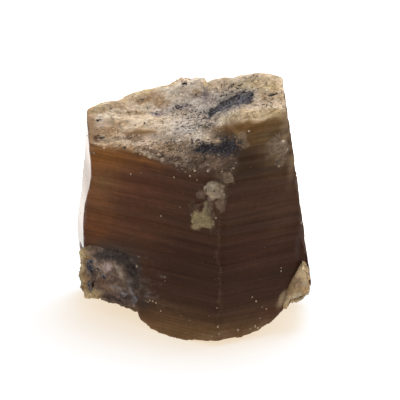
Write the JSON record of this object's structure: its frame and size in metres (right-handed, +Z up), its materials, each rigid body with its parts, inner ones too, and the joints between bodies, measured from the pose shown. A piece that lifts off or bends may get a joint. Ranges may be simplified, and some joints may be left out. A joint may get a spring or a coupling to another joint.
{
  "type": "parisite crystal",
  "caption": "Broken, striated six-sided parisite crystal, dark brown with a pale rough top, standing upright with remains of matrix on its lower corners.",
  "frame": {"origin": "centre of the bounding box's bottom, on the surface that the crystal stands on", "axes": "+Z up along the crystal, -Y towards the front, where the two widest faces meet in an edge, +X to the right seen from the front"},
  "size_m": [0.0246, 0.02, 0.0253],
  "materials": {
    "parisite": "satin, striated across its length, granular and matt on the broken top",
    "dark_matrix": "rough and granular",
    "pale_matrix": "rough and granular"
  },
  "bodies": {
    "root": {"crystal": "parisite", "matrix_left": "dark_matrix", "matrix_right": "pale_matrix"}
  },
  "joints": []
}
